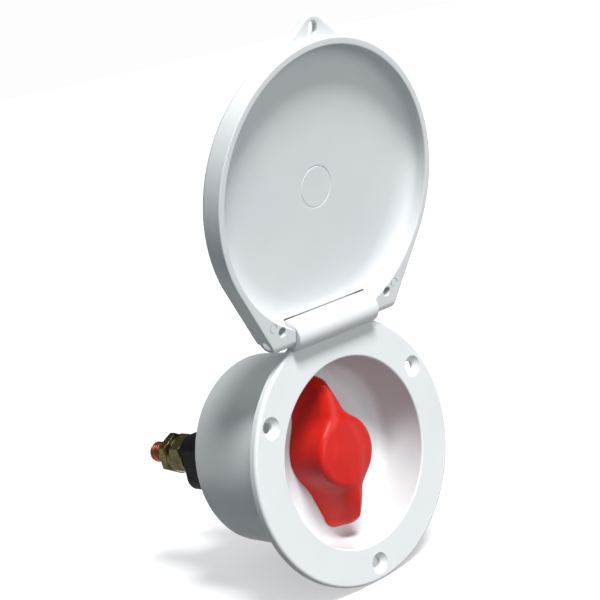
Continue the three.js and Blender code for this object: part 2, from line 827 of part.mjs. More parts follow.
function terminalBlock() {
  const frame = roundedRectangle(body.squareHalf, body.squareHalf, body.cornerRadius);
  const boss = roundedRectangle(block.halfWidth, block.halfHeight, block.cornerRadius);
  const recess = roundedRectangle(block.recessHalfWidth, block.recessHalfHeight, 3);
  const bossSolid = plate(boss, blockFlangeBackY - 4, block.backY, 1).translate([0, 0, -block.drop]);
  let made = join(
    plate(frame, blockY, blockFlangeBackY),
    cut(bossSolid, box([-60, 0, -60], [60, blockY + 1, 60])),
  );
  made = made.subtract(plate(recess, blockY - 1, block.recessFloorY));
  made = made.subtract(barY(block.springPocketRadius, block.recessFloorY - 1, block.springPocketEndY,
    0, 0, coarse));
  for (const side of [-1, 1]) {
    made = made.subtract(barY(terminal.studRadius + terminal.holeGap, block.recessFloorY - 1, block.backY + 1,
      side * studX, 0, medium));
  }
  for (const [x, z] of bodyScrewPlaces()) {
    made = made.subtract(barY(bodyScrew.shankRadius + clearances.cut, blockY - 1, blockFlangeBackY + 1, x, z,
      coarse));
  }
  return made;
}

function terminalStud() {
  const r = terminal.studRadius;
  const c = terminal.chamfer;
  return turned([
    [0, headFrontY],
    [terminal.headRadius - 0.8, headFrontY],
    [terminal.headRadius, headFrontY + 0.8],
    [terminal.headRadius, headFrontY + terminal.headThickness],
    [r, headFrontY + terminal.headThickness],
    [r, terminal.endY - c],
    [r - c, terminal.endY],
    [0, terminal.endY],
  ], medium);
}

function flatWasher(fromY) {
  const inner = terminal.studRadius + terminal.holeGap;
  const outer = washers.flatRadius;
  const toY = fromY + washers.flatThickness;
  return ring([[inner, fromY], [outer, fromY], [outer, toY], [inner, toY]], medium);
}

function springWasher(fromY) {
  return ringSector(terminal.studRadius + terminal.holeGap, washers.springRadius, -66, 282, fromY,
    fromY + washers.springThickness);
}

// A hexagon nut along Y with its corners turned down at both faces.
function nut(fromY, height) {
  const corner = nuts.acrossFlats / 2 / Math.cos(Math.PI / 6);
  const hex = new THREE.CylinderGeometry(corner, corner, height, 6);
  hex.translate(0, fromY + height / 2, 0);
  const c = nuts.chamfer;
  const toY = fromY + height;
  const dome = turned([
    [0, fromY], [corner - 2 * c, fromY], [corner + 0.05, fromY + c],
    [corner + 0.05, toY - c], [corner - 2 * c, toY], [0, toY],
  ], medium);
  const boreR = terminal.studRadius + terminal.holeGap;
  return solid(hex).intersect(dome).subtract(barY(boreR, fromY - 1, toY + 1));
}

// ---- Assembly ----

const group = new THREE.Group();

function addPart(name, made, look, parent = group) {
  const geometry = toGeometry(made);
  const mesh = new THREE.Mesh(geometry, new THREE.MeshStandardMaterial(look));
  mesh.name = name;
  parent.add(mesh);
  return mesh;
}

function addEnclosure() {
  addPart('housing', housing(), colours.shell);
  addPart('panel_seal', panelSeal(), colours.rubber);
  addPart('rear_cover', rearCover(), colours.shell);
  const names = ['upper', 'lower'];
  names.forEach((name, i) => {
    const screw = addPart(`cover_screw_${name}`, coverScrew(), colours.steel);
    screw.position.z = (i === 0 ? 1 : -1) * cover.postZ;
  });
}

function addLid() {
  const open = new THREE.Group();
  open.position.set(0, hinge.y, hinge.z);
  open.rotation.x = -THREE.MathUtils.degToRad(hinge.openAngle);
  group.add(open);
  addPart('lid', lidSolid(), colours.shell, open);
  addPart('hinge_pin_left', hingePin(-1), colours.steel, open);
  addPart('hinge_pin_right', hingePin(1), colours.steel, open);
}

function addKnob() {
  addPart('knob', knobSolid(), colours.knob);
  addPart('knob_set_screw', knobSetScrew(), colours.steel);
  addPart('shaft', shaftSolid(), colours.steel);
  addPart('shaft_seal', shaftSeal(), colours.rubber);
  addPart('retaining_clip', retainingClip(), colours.steel);
  addPart('cam_rotor', camRotor(), colours.inner);
}

function addMechanism() {
  addPart('switch_body', switchBody(), colours.block);
  addPart('contact_carrier', contactCarrier(), colours.inner);
  addPart('contact_bridge', contactBridge(), colours.copper);
  addPart('contact_spring', contactSpring(), colours.steel);
  addPart('return_spring', returnSpring(), colours.steel);
  addPart('terminal_block', terminalBlock(), colours.block);
  bodyScrewPlaces().forEach(([x, z], i) => {
    const screw = addPart(`body_screw_${i + 1}`, bodyScrewSolid(), colours.steel);
    screw.position.set(x, 0, z);
  });
}

function addTerminal(name, x) {
  const g = clearances.cut;
  const flatY = block.backY + g;
  const nutY = flatY + washers.flatThickness + g;
  const springY = nutY + nuts.fullHeight + g;
  const jamY = springY + washers.springThickness + g;
  const pieces = [
    ['stud', terminalStud(), colours.copper],
    ['flat_washer', flatWasher(flatY), colours.plated],
    ['nut', nut(nutY, nuts.fullHeight), colours.plated],
    ['spring_washer', springWasher(springY), colours.plated],
    ['jam_nut', nut(jamY, nuts.jamHeight), colours.plated],
  ];
  for (const [kind, made, look] of pieces) {
    addPart(`${kind}_${name}`, made, look).position.x = x;
  }
}

addEnclosure();
addLid();
addKnob();
addMechanism();
addTerminal('left', -studX);
addTerminal('right', studX);

export default group;
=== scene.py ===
from math import acos, atan2, cos, hypot, pi, radians, sin, tan

import bmesh
import bpy
import numpy as np
from mathutils import Matrix, Vector


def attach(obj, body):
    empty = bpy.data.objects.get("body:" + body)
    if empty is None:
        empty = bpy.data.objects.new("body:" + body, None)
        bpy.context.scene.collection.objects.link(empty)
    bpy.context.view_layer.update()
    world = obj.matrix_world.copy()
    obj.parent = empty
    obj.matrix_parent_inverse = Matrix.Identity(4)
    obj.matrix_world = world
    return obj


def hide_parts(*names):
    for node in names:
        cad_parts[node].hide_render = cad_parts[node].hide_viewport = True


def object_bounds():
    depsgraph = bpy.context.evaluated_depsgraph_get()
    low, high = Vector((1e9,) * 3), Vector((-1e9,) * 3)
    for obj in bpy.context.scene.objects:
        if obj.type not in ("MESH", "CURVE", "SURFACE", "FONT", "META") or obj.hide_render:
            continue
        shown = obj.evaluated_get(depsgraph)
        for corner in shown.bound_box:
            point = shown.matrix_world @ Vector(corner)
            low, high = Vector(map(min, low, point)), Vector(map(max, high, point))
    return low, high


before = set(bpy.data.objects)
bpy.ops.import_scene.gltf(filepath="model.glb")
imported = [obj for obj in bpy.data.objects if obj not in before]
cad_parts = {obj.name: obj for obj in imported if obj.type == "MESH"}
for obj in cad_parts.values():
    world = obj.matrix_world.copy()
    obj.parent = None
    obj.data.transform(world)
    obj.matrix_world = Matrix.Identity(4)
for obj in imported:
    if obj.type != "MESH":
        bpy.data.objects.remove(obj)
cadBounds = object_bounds()

# Everything is drawn in millimetres in the part's own frame and scaled to
# metres at the end. +Z points up to the hinge, -Y out of the panel to the
# user, and the origin is the centre of the flange's back face.

hinge = {"y": -4.8, "z": 60.4, "openAngle": 167}
sharpAngle = radians(34)
# Corners of a mesh closer than this are one.
weldDistance = 0.002
# How far a cutting tool runs past the face that it opens.
overshoot = 3


# A mesh from a grid: points[row, column] are its corners, and each square of
# four neighbours is a face. The last column joins the first, and the last row
# joins the first row where that is asked for.
def gridFaces(points, closeRows=False):
    rows, columns = points.shape[:2]
    index = np.arange(rows * columns).reshape(rows, columns)
    index = np.hstack([index, index[:, :1]])
    if closeRows:
        index = np.vstack([index, index[:1]])
    quads = np.stack([index[:-1, :-1], index[:-1, 1:], index[1:, 1:], index[1:, :-1]], axis=-1)
    return points.reshape(-1, 3), quads.reshape(-1, 4).tolist()


# One object from several closed meshes, each given as corners and faces.
# Corners that meet at a pole or a seam become one, and every face is turned
# outwards.
def makeObject(name, *meshes):
    corners, faces = [], []
    for points, polygons in meshes:
        start = len(corners)
        corners += points.tolist()
        faces += [[start + corner for corner in polygon] for polygon in polygons]
    mesh = bpy.data.meshes.new(name)
    mesh.from_pydata(corners, [], faces)
    work = bmesh.new()
    work.from_mesh(mesh)
    bmesh.ops.remove_doubles(work, verts=work.verts, dist=weldDistance)
    bmesh.ops.recalc_face_normals(work, faces=work.faces)
    work.to_mesh(mesh)
    work.free()
    piece = bpy.data.objects.new(name, mesh)
    bpy.context.scene.collection.objects.link(piece)
    return piece


# Cuts a tool out of a piece, or joins it on, and throws the tool away.
def carve(piece, tool, operation="DIFFERENCE"):
    modifier = piece.modifiers.new("carve", "BOOLEAN")
    modifier.operation = operation
    modifier.solver = "MANIFOLD"
    modifier.object = tool
    depsgraph = bpy.context.evaluated_depsgraph_get()
    carved = bpy.data.meshes.new_from_object(piece.evaluated_get(depsgraph))
    piece.modifiers.clear()
    piece.data = carved
    bpy.data.objects.remove(tool)


# Finishes a piece: smooth faces with crisp edges, metres, the material of its
# slot and the body it rides on; the CAD nodes it stands for are hidden.
def finishPiece(piece, body, slot, nodes, place=None):
    mesh = piece.data
    if place is not None:
        mesh.transform(place)
    mesh.transform(Matrix.Scale(0.001, 4))
    mesh.shade_smooth()
    mesh.set_sharp_from_angle(angle=sharpAngle)
    mesh.materials.clear()
    mesh.materials.append(finishes[slot])
    even = piece.modifiers.new("evenNormals", "WEIGHTED_NORMAL")
    even.keep_sharp = True
    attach(piece, body)
    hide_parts(*nodes)


# A smooth step from 0 at low to 1 at high: 3 k^2 - 2 k^3 of the share k.
def smoothStep(low, high, value):
    k = np.clip((value - low) / (high - low), 0, 1)
    return k * k * (3 - 2 * k)


# A profile of corners (a, b, fillet), each corner rounded by an arc that
# touches both of its sides.
def roundedProfile(corners, closed=True, steps=6):
    count = len(corners)
    places = np.array([corner[:2] for corner in corners], float)
    k = np.linspace(0, 1, steps + 1)[:, None]
    line = []
    for i, here in enumerate(places):
        fillet = corners[i][2]
        if fillet <= 0 or (not closed and i in (0, count - 1)):
            line.append(here[None])
            continue
        back, ahead = places[i - 1] - here, places[(i + 1) % count] - here
        backLength, aheadLength = np.linalg.norm(back), np.linalg.norm(ahead)
        back, ahead = back / backLength, ahead / aheadLength
        angle = np.arccos(np.clip(back @ ahead, -1, 1))
        reach = min(fillet / np.tan(angle / 2), 0.49 * min(backLength, aheadLength))
        radius = reach * np.tan(angle / 2)
        middle = (back + ahead) / np.linalg.norm(back + ahead)
        centre = here + middle * radius / np.sin(angle / 2)
        start, end = here + back * reach - centre, here + ahead * reach - centre
        turn = pi - angle
        line.append(centre + (np.sin((1 - k) * turn) * start + np.sin(k * turn) * end) / np.sin(turn))
    return np.vstack(line)


# A profile of (radius, y) points turned about an axis along Y:
# x = radius cos(angle), z = radius sin(angle).
def lathe(profile, segments=192, x=0.0, z=0.0):
    angle = np.arange(segments) * 2 * pi / segments
    radius, y = profile[:, :1], profile[:, 1:]
    return np.stack([x + radius * np.cos(angle), y + 0 * angle, z + radius * np.sin(angle)], axis=-1)


# A plain round bar along Y.
def barAlongY(radius, fromY, toY, x=0.0, z=0.0, segments=64):
    return lathe(np.array([[0, fromY], [radius, fromY], [radius, toY], [0, toY]], float), segments, x, z)


# Lays a shape that stands along Y down along X, about a line at y and z.
def layAlongX(upright, y, z):
    return np.stack([upright[..., 1], y + upright[..., 0], z + upright[..., 2]], axis=-1)


def barAlongX(radius, fromX, toX, y, z, segments=64):
    return layAlongX(barAlongY(radius, fromX, toX, segments=segments), y, z)


# Joins flat (x, z) outlines, each with its own y, into a grid of one row each.
def stackRows(rows):
    flat = np.stack([outline for outline, _ in rows])
    y = np.broadcast_to(np.array([depth for _, depth in rows])[:, None], flat.shape[:2])
    return np.stack([flat[..., 0], y, flat[..., 1]], axis=-1)


# A convex outline from arcs (centre x, centre z, radius, from, to, steps), in
# order; a straight line joins the end of each arc to the start of the next.
# Gives the outline's points and its outward normals.
def arcOutline(arcs, lineSteps=8):
    points, normals, ends = [], [], []
    for centreX, centreZ, radius, fromDegrees, toDegrees, steps in arcs:
        angle = np.radians(np.linspace(fromDegrees, toDegrees, steps + 1))
        normal = np.stack([np.cos(angle), np.sin(angle)], axis=-1)
        ends.append((np.array([centreX, centreZ]) + radius * normal, normal))
    for i, (arc, normal) in enumerate(ends):
        points.append(arc)
        normals.append(normal)
        nextStart = ends[(i + 1) % len(ends)][0][0]
        k = np.linspace(0, 1, lineSteps + 1)[1:-1, None]
        if np.linalg.norm(nextStart - arc[-1]) > 0.5:
            points.append(arc[-1] + (nextStart - arc[-1]) * k)
            normals.append(np.repeat(normal[-1:], len(k), axis=0))
    return np.vstack(points), np.vstack(normals)


def roundedRectangle(halfWidth, halfHeight, radius, steps=10):
    w, h = halfWidth - radius, halfHeight - radius
    return arcOutline([(w, h, radius, 0, 90, steps), (-w, h, radius, 90, 180, steps),
                       (-w, -h, radius, 180, 270, steps), (w, -h, radius, 270, 360, steps)])


# A flat outline carried along Y with rounded edges: each row is the outline
# drawn in by some inset at some y, and the end faces close on the middle.
def prism(outline, fromY, toY, edge=0.0, steps=5):
    points, normals = outline
    quarter = np.linspace(0, pi / 2, steps + 1) if edge > 0 else np.array([0.0])
    inset = np.concatenate([edge * (1 - np.sin(quarter)), edge * (1 - np.cos(quarter))])
    y = np.concatenate([fromY + edge * (1 - np.cos(quarter)), toY - edge * (1 - np.sin(quarter))])
    rows = points[None] - inset[:, None, None] * normals[None]
    middle = points.mean(axis=0)
    rows = np.concatenate([rows[:1] * 0 + middle, rows, rows[:1] * 0 + middle])
    y = np.concatenate([[fromY], y, [toY]])
    return stackRows(list(zip(rows, y)))


# A colour from its sRGB hex value, made linear: value / 12.92 in the darkest
# tones and ((value + 0.055) / 1.055) ^ 2.4 above them.
def colour(hexValue):
    value = np.array([int(hexValue[i:i + 2], 16) for i in (1, 3, 5)]) / 255
    linear = np.where(value <= 0.04045, value / 12.92, ((value + 0.055) / 1.055) ** 2.4)
    return (*linear.tolist(), 1.0)


# Gives an input its value, or joins it to another node's output.
def feed(material, socket, value):
    if isinstance(value, bpy.types.NodeSocket):
        material.node_tree.links.new(value, socket)
    else:
        socket.default_value = value


# Adds a node: inputs holds values and other nodes' outputs, and the rest are
# the node's own settings.
def addNode(material, kind, inputs=None, **settings):
    node = material.node_tree.nodes.new("ShaderNode" + kind)
    for key, value in settings.items():
        setattr(node, key, value)
    for key, value in (inputs or {}).items():
        feed(material, node.inputs[key], value)
    return node


# A new material, with the object's own coordinates.
def newMaterial(name):
    material = bpy.data.materials.new(name)
    material.use_nodes = True
    return material, addNode(material, "TexCoord").outputs["Object"]


def setShader(material, **inputs):
    shader = material.node_tree.nodes["Principled BSDF"]
    for key, value in inputs.items():
        feed(material, shader.inputs[key.replace("_", " ")], value)


# Noise at a real size in millimetres, spread between two values.
def spreadNoise(material, place, millimetres, low, high, detail=3.0, roughness=0.55):
    noise = addNode(material, "TexNoise", {
        "Vector": place, "Scale": 1000 / millimetres, "Detail": detail, "Roughness": roughness})
    spread = addNode(material, "MapRange", {
        "Value": noise.outputs["Fac"], "From Min": 0.3, "From Max": 0.7, "To Min": low, "To Max": high})
    return spread.outputs["Result"]


# Two colours mixed by a factor: each is a hex value or another node's output.
def twoColours(material, factor, first, second):
    mixed = addNode(material, "Mix", {"Factor": factor}, data_type="RGBA")
    ends = [socket for socket in mixed.inputs if socket.type == "RGBA"]
    for socket, value in zip(ends, (first, second)):
        feed(material, socket, colour(value) if isinstance(value, str) else value)
    return next(socket for socket in mixed.outputs if socket.type == "RGBA")


# A fine relief: a bump whose height is noise of a real size, on top of the
# relief under it where there is one.
def relief(material, place, millimetres, detail, strength, distance, under=None):
    inputs = {"Strength": strength, "Distance": distance}
    inputs["Height"] = spreadNoise(material, place, millimetres, 0, 1, detail)
    if under is not None:
        inputs["Normal"] = under
    return addNode(material, "Bump", inputs).outputs["Normal"]


# Injection-moulded white ABS: a satin skin with the mould's fine spark
# texture, a slow waviness from shrinkage, and a slow drift of tone. The
# texture's 0.1 mm grains are drawn at 0.5 mm so that they show.
def whiteAbs():
    material, place = newMaterial("whiteAbsMoulded")
    tone = spreadNoise(material, place, 38, 0, 1, 2)
    wave = relief(material, place, 14, 1, 0.25, 0.00012)
    setShader(material,
              Base_Color=twoColours(material, tone, "#DDE0E2", "#D7DCDF"),
              Roughness=spreadNoise(material, place, 9, 0.36, 0.46),
              Normal=relief(material, place, 0.5, 2, 0.22, 0.00003, wave),
              IOR=1.54, Subsurface_Weight=0.03, Subsurface_Scale=0.002, Subsurface_Radius=(1.0, 0.9, 0.8))
    return material


# Injection-moulded red plastic, polished by the hand, with faint flow
# variation in the pigment.
def redPlastic():
    material, place = newMaterial("redPlasticMoulded")
    tone = spreadNoise(material, place, 22, 0, 1, 3)
    setShader(material,
              Base_Color=twoColours(material, tone, "#CC2119", "#C01B14"),
              Roughness=spreadNoise(material, place, 5, 0.3, 0.4),
              Normal=relief(material, place, 0.6, 2, 0.14, 0.00003),
              IOR=1.46, Specular_IOR_Level=0.28)
    return material


# Compression-moulded phenolic: near black, dull, with a slightly mealy face.
def blackPhenolic():
    material, place = newMaterial("blackPhenolicMoulded")
    tone = spreadNoise(material, place, 4, 0, 1, 4)
    setShader(material,
              Base_Color=twoColours(material, tone, "#0F0F12", "#18181C"),
              Roughness=spreadNoise(material, place, 2, 0.5, 0.66),
              Normal=relief(material, place, 0.6, 3, 0.35, 0.00004),
              IOR=1.45, Specular_IOR_Level=0.12)
    return material


# Moulded grey nylon of the parts inside: waxy and even.
def greyNylon():
    material, place = newMaterial("greyNylonMoulded")
    tone = spreadNoise(material, place, 8, 0, 1, 2)
    setShader(material,
              Base_Color=twoColours(material, tone, "#97999B", "#85888B"),
              Normal=relief(material, place, 0.8, 2, 0.2, 0.00003),
              Roughness=0.5, IOR=1.53, Subsurface_Weight=0.05, Subsurface_Scale=0.002)
    return material


# Turned and rolled copper, handled and a little tarnished: brown clouds over
# the pink metal, and fine scratches.
def turnedCopper():
    material, place = newMaterial("turnedCopper")
    tarnish = spreadNoise(material, place, 3.5, 0, 1, 5, 0.65)
    setShader(material,
              Base_Color=twoColours(material, tarnish, "#A86A4A", "#5E3222"),
              Roughness=spreadNoise(material, place, 1.5, 0.3, 0.5, 4),
              Normal=relief(material, place, 0.35, 3, 0.3, 0.00003),
              Metallic=1.0)
    return material


# Yellow-passivated zinc on steel nuts, dulled with age: the film's colour
# drifts from olive gold to dark olive over each face, with brown patches.
def yellowZinc():
    material, place = newMaterial("yellowZincPlated")
    drift = spreadNoise(material, place, 7, 0, 1, 2)
    patch = spreadNoise(material, place, 2.2, 0, 1, 4, 0.7)
    film = twoColours(material, drift, "#70643A", "#323422")
    setShader(material,
              Base_Color=twoColours(material, patch, film, "#4A4428"),
              Roughness=spreadNoise(material, place, 1.2, 0.24, 0.44, 4),
              Normal=relief(material, place, 0.5, 3, 0.25, 0.00003),
              Metallic=1.0)
    return material


# Stainless steel screws, pins and springs: bright, with fine scratches.
def stainlessSteel():
    material, place = newMaterial("stainlessSteelTurned")
    tone = spreadNoise(material, place, 3, 0, 1, 3)
    setShader(material,
              Base_Color=twoColours(material, tone, "#C4C6C8", "#A9ACAF"),
              Roughness=spreadNoise(material, place, 1, 0.24, 0.38),
              Normal=relief(material, place, 0.4, 2, 0.2, 0.00002),
              Metallic=1.0)
    return material


# Moulded nitrile rubber of the two seals: black and soft, with a dusty bloom.
def nitrileRubber():
    material, place = newMaterial("nitrileRubberMoulded")
    bloom = spreadNoise(material, place, 6, 0, 1, 4)
    setShader(material,
              Base_Color=twoColours(material, bloom, "#17181A", "#292A2C"),
              Normal=relief(material, place, 0.5, 3, 0.4, 0.00005),
              Roughness=0.8, IOR=1.52)
    return material


finishes = {
    "white_abs": whiteAbs(),
    "red_plastic": redPlastic(),
    "black_phenolic": blackPhenolic(),
    "grey_nylon": greyNylon(),
    "copper": turnedCopper(),
    "yellow_zinc": yellowZinc(),
    "stainless": stainlessSteel(),
    "black_rubber": nitrileRubber(),
}
print("finishes made:", len(finishes))


# The housing is one moulding: the bowl, the flange, the drum and the knuckle.
housing = {
    "flangeRadius": 60, "flangeThickness": 4, "flangeEdge": 1.5,
    "mouthRadius": 42.9, "mouthEdge": 0.9, "floorRadius": 41.65, "floorY": 21, "floorFillet": 5.4,
    "hubHole": 9, "drumFront": 45.2, "drumBack": 44, "backY": 56, "backEdge": 1.8, "wall": 2,
    "floorBackY": 24, "sealInner": 46.6, "sealOuter": 49.4, "sealDepth": 1.3,
    "screwPitch": 52.5, "screwAngles": [30, 150, 270],
    "screwHole": 2.25, "screwHead": 4.6, "headDepth": 2.5, "coneFoot": 0.25,
    "rimWidth": 0.5, "rimDepth": 0.45, "rimHeight": 0.25,
    "knuckleHalf": 25, "knuckleEdge": 0.8, "knuckleMiddle": (0.3, 0.6), "barrel": 6.5, "crest": 7.6,
    "swellFrom": 108, "swellTo": 154, "pinHole": 2.1, "pinReach": 12,
}


# The bowl, flange and drum: one closed profile of rounded corners, turned.
def cupGrid():
    h = housing
    front = -h["flangeThickness"]
    return lathe(roundedProfile([
        (h["hubHole"], h["floorY"], 0.4), (h["floorRadius"], h["floorY"], h["floorFillet"]),
        (h["mouthRadius"], front, h["mouthEdge"]), (h["flangeRadius"], front, h["flangeEdge"]),
        (h["flangeRadius"], 0, 0.4), (h["sealOuter"], 0, 0.15),
        (h["sealOuter"], -h["sealDepth"], 0.2), (h["sealInner"], -h["sealDepth"], 0.2),
        (h["sealInner"], 0, 0.15), (h["drumFront"], 0, 0.7),
        (h["drumBack"], h["backY"], h["backEdge"]), (h["drumBack"] - h["wall"], h["backY"], 0.4),
        (h["drumBack"] - h["wall"], h["floorBackY"], 1), (h["hubHole"], h["floorBackY"], 0.3),
    ], steps=8), 288)


# The knuckle: a barrel about the hinge, cut flat at the panel's face. Its
# radius falls from the crest's, at the back, to the barrel's by a smooth step
# of the angle. Its rows run along X, drawn in at both ends.
def knuckleGrid():
    h = housing
    back = -hinge["y"]
    angle = np.linspace(acos(back / h["crest"]), 2 * pi - acos(back / h["barrel"]), 120)
    swell = smoothStep(h["swellFrom"], h["swellTo"], np.degrees(angle))
    radius = h["crest"] + (h["barrel"] - h["crest"]) * swell
    arc = np.stack([radius * np.cos(angle), radius * np.sin(angle)], axis=-1)
    flat = arc[-1] + (arc[0] - arc[-1]) * np.linspace(0, 1, 12)[1:-1, None]
    outline, middle = np.vstack([arc, flat]), np.array(h["knuckleMiddle"])
    half, edge, quarter = h["knuckleHalf"], h["knuckleEdge"], np.linspace(0, pi / 2, 7)
    rising, falling = edge * (1 - np.cos(quarter)), edge * (1 - np.sin(quarter))
    x = np.concatenate([[-half], -half + rising, half - falling, [half]])
    size = 1 - np.concatenate([[0], falling, rising, [0]]) / h["barrel"]
    size[[0, -1]] = 0
    rows = middle + (outline - middle)[None] * size[:, None, None]
    return np.stack([np.broadcast_to(x[:, None], rows.shape[:2]), hinge["y"] + rows[..., 0],
                     hinge["z"] + rows[..., 1]], axis=-1)


# A countersunk hole: a straight hole that opens into a cone and a short rim.
def countersink(degrees):
    h = housing
    front = -h["flangeThickness"]
    hole, head = h["screwHole"], h["screwHead"]
    profile = roundedProfile([
        (0, front - overshoot, 0), (head + h["rimWidth"], front - overshoot, 0),
        (head + h["rimWidth"], front - h["rimHeight"], 0.05), (head, front + h["rimDepth"], 0.2),
        (hole + h["coneFoot"], front + h["headDepth"], 0.3), (hole, overshoot, 0), (0, overshoot, 0),
    ], closed=False)
    angle = radians(degrees)
    return lathe(profile, 72, h["screwPitch"] * cos(angle), h["screwPitch"] * sin(angle))


def makeHousing():
    h = housing
    piece = makeObject("shell", gridFaces(cupGrid(), closeRows=True))
    carve(piece, makeObject("knuckle", gridFaces(knuckleGrid())), "UNION")
    cutters = [gridFaces(countersink(degrees)) for degrees in h["screwAngles"]]
    for side in (-1, 1):
        ends = sorted((side * (h["knuckleHalf"] + overshoot), side * (h["knuckleHalf"] - h["pinReach"])))
        cutters.append(gridFaces(barAlongX(h["pinHole"], *ends, hinge["y"], hinge["z"])))
    carve(piece, makeObject("holes", *cutters))
    finishPiece(piece, "enclosure", "white_abs", ["housing"])


makeHousing()
print("housing made")


cover = {
    "radius": 41.6, "fromY": 53.6, "toY": 56, "edge": 0.5,
    "holeWidth": 27.4, "holeHeight": 13.9, "holeCorner": 7, "holeDrop": 2.4,
}
coverScrew = {
    "z": 38.2, "hole": 1.8, "shank": 1.45, "length": 11, "point": 2, "seat": 0.3,
    "headRadius": 3, "headHeight": 1.9, "shoulder": 0.9,
    "crossLength": 1.75, "crossWidth": 0.38, "crossDepth": 1.1,
}


# The cover is a disc with an opening for the terminal block and two holes.
def makeRearCover():
    c = cover
    disc = roundedProfile([(0, c["fromY"], 0), (c["radius"], c["fromY"], c["edge"]),
                           (c["radius"], c["toY"], c["edge"]), (0, c["toY"], 0)], closed=False)
    piece = makeObject("rearCover", gridFaces(lathe(disc)))
    start, end = c["fromY"] - overshoot, c["toY"] + overshoot
    points, normals = roundedRectangle(c["holeWidth"], c["holeHeight"], c["holeCorner"], 14)
    cutters = [gridFaces(prism((points - [0, c["holeDrop"]], normals), start, end))]
    for z in (-coverScrew["z"], coverScrew["z"]):
        cutters.append(gridFaces(barAlongY(coverScrew["hole"], start, end, 0, z)))
    carve(piece, makeObject("coverHoles", *cutters))
    finishPiece(piece, "enclosure", "white_abs", ["rear_cover"])


# A pan head with a cross recess: a domed profile turned, and two crossed bars
# taken out of it.
def makeCoverScrew(name, z):
    s = coverScrew
    seat = cover["toY"] + s["seat"]
    top = seat + s["headHeight"]
    dome = roundedProfile([
        (0, seat - s["length"], 0), (s["shank"], seat - s["length"] + s["point"], 0.3),
        (s["shank"], seat, 0.1), (s["headRadius"], seat, 0.2),
        (s["headRadius"] - 0.1, seat + s["shoulder"], 0.9), (0, top, 0)], closed=False)
    piece = makeObject(name, gridFaces(lathe(dome, 64, 0, z)))
    long, short = s["crossLength"], s["crossWidth"]
    for halfX, halfZ in ((long, short), (short, long)):
        points, normals = roundedRectangle(halfX, halfZ, 0.15, 3)
        bar = prism((points + [0, z], normals), top - s["crossDepth"], top + overshoot)
        carve(piece, makeObject("cross", gridFaces(bar)))
    finishPiece(piece, "enclosure", "stainless", [name])


# The seal fills the groove in the flange's back, a little clear of its walls.
def makePanelSeal():
    clear = 0.1
    inner, outer = housing["sealInner"] + clear, housing["sealOuter"] - clear
    bottom = clear - housing["sealDepth"]
    section = roundedProfile([(inner, bottom, 0.4), (outer, bottom, 0.4), (outer, 0, 0.5), (inner, 0, 0.5)])
    piece = makeObject("panelSeal", gridFaces(lathe(section), closeRows=True))
    finishPiece(piece, "enclosure", "black_rubber", ["panel_seal"])


makeRearCover()
makeCoverScrew("cover_screw_upper", coverScrew["z"])
makeCoverScrew("cover_screw_lower", -coverScrew["z"])
makePanelSeal()
print("rear cover, screws and seal made")


# The lid is drawn shut over the flange and then swung open about the hinge.
lid = {
    "radius": 64.5, "matingY": -0.9, "thickness": 11.5, "backEdge": 2.8, "rimEdge": 0.5,
    "earX": 35.19, "earZ": 61.3, "earCorner": 3, "earRadius": 3.9,
    "pocketRadius": 61.4, "pocketEdge": 0.45, "wallDepth": 3.9, "wallDraft": 0.3,
    "pocketDepth": 9, "blendWidth": 11.6,
    "centreMark": 9, "markDepth": 0.22, "markWidth": 0.36,
    "earHoleX": 33, "earHoleZ": 54.7, "earHole": 2, "earHoleDepth": 8,
    "earMarkX": 38.1, "earMarkZ": 51.8, "earMark": 1.9, "earMarkDepth": 0.4, "earMarkWidth": 0.5,
    "knuckleGap": 8.4, "knuckleHalf": 25.35, "pinHole": 2.1,
}
tab = {
    "reach": 73.6, "radius": 7.6, "thickness": 3, "setback": 6.7, "flare": 24, "lead": 6, "shoulder": 45,
    "root": 62.6, "edge": 0.9, "holeWidth": 5.2, "holeHeight": 6.4, "holeZ": 68.3, "holeEdge": 0.35,
}
pin = {"radius": 2, "edge": 0.5, "clear": 0.5, "toX": 45, "below": 0.1, "trimFrom": -15, "trimTo": 5}


# The lid's outline: the round rim, and tangent lines from it to the two ears.
def lidOutline():
    reach = lid["radius"] - lid["earCorner"]
    lean = np.degrees(atan2(lid["earZ"], lid["earX"]) - acos(reach / hypot(lid["earX"], lid["earZ"])))
    ear, corner = (lid["earX"], lid["earZ"]), lid["earCorner"]
    return arcOutline([
        (*ear, corner, lean, 90, 8), (-ear[0], ear[1], corner, 90, 180 - lean, 8),
        (0, 0, lid["radius"], 180 - lean, 360 + lean, 250)], 22)


